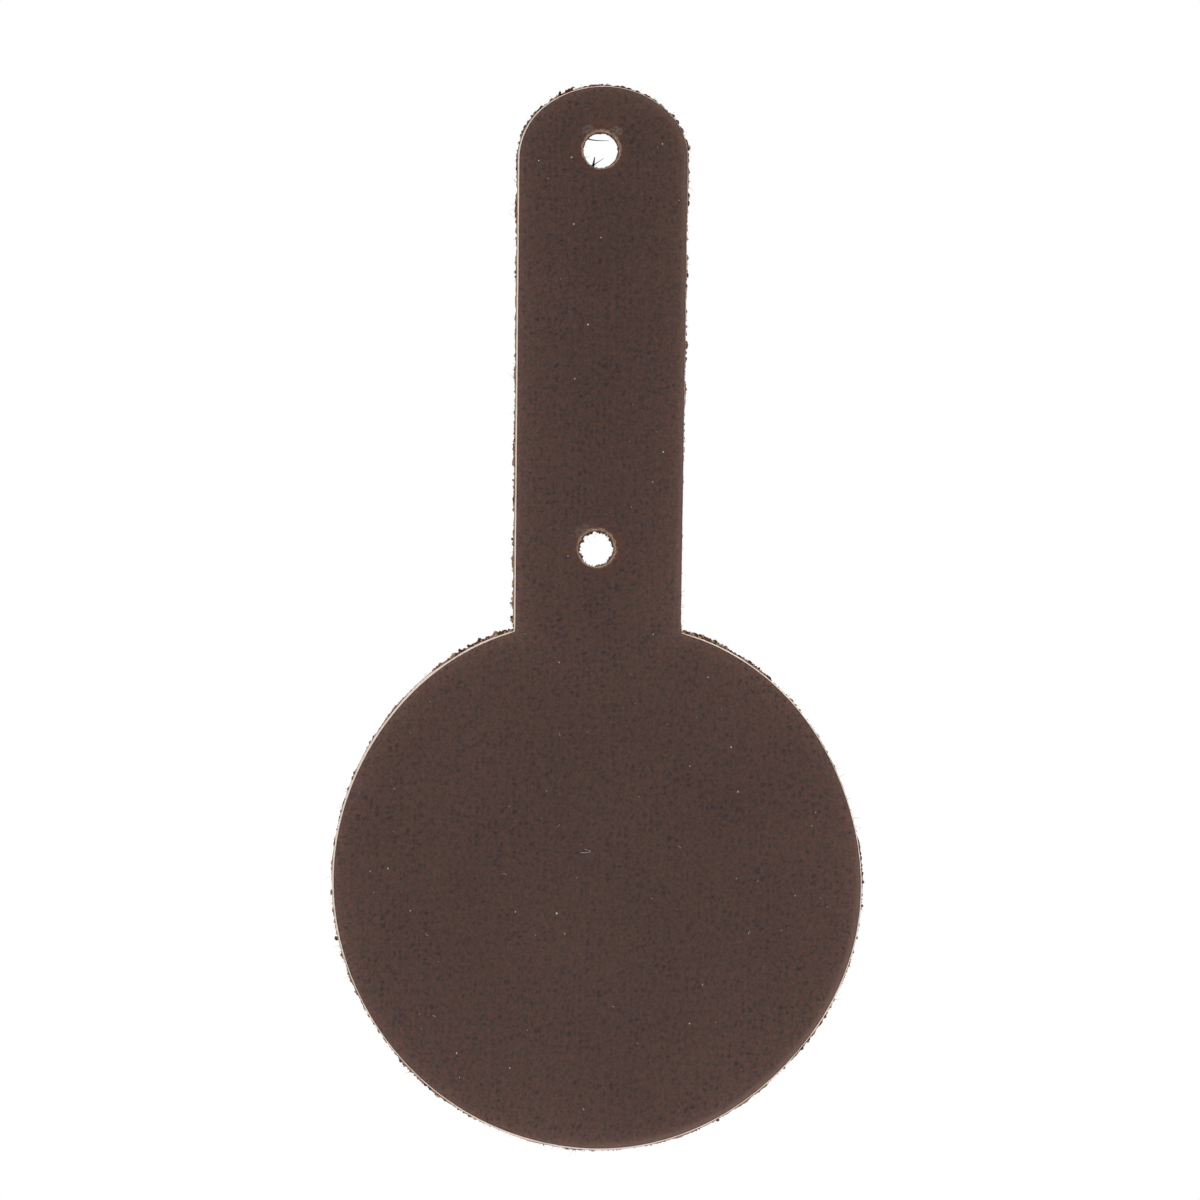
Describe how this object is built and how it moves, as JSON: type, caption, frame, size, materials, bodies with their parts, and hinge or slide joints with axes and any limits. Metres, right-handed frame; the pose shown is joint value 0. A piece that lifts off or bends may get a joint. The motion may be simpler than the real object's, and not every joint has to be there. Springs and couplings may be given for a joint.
{
  "type": "fly swatter",
  "caption": "Small one-piece leather fly swatter: a flat round head on a short straight strap with a rounded end and a punched hole near each end of the strap, flexing at the neck.",
  "frame": {"origin": "centre of the end hole, at the middle of the leather's thickness; the swatter hangs from this hole", "axes": "+Z along the strap from the head to the rounded end, so the head is below; +Y out of the rough flesh side and -Y out of the smooth grain side; +X across the strap, to the right when the grain side is seen"},
  "size_m": [0.1016, 0.0036, 0.204],
  "materials": {
    "leather": "satin",
    "leather_fibres": "matte"
  },
  "bodies": {
    "strap": {"strap": "leather"},
    "head": {"head": "leather"}
  },
  "joints": [
    {"name": "neck_flex", "type": "hinge", "parent": "strap", "child": "head", "pos_m": [0, 0, -0.09295], "axis": [1, 0, 0], "range_deg": [-45, 45], "stiffness_Nm_per_rad": 0.4}
  ]
}
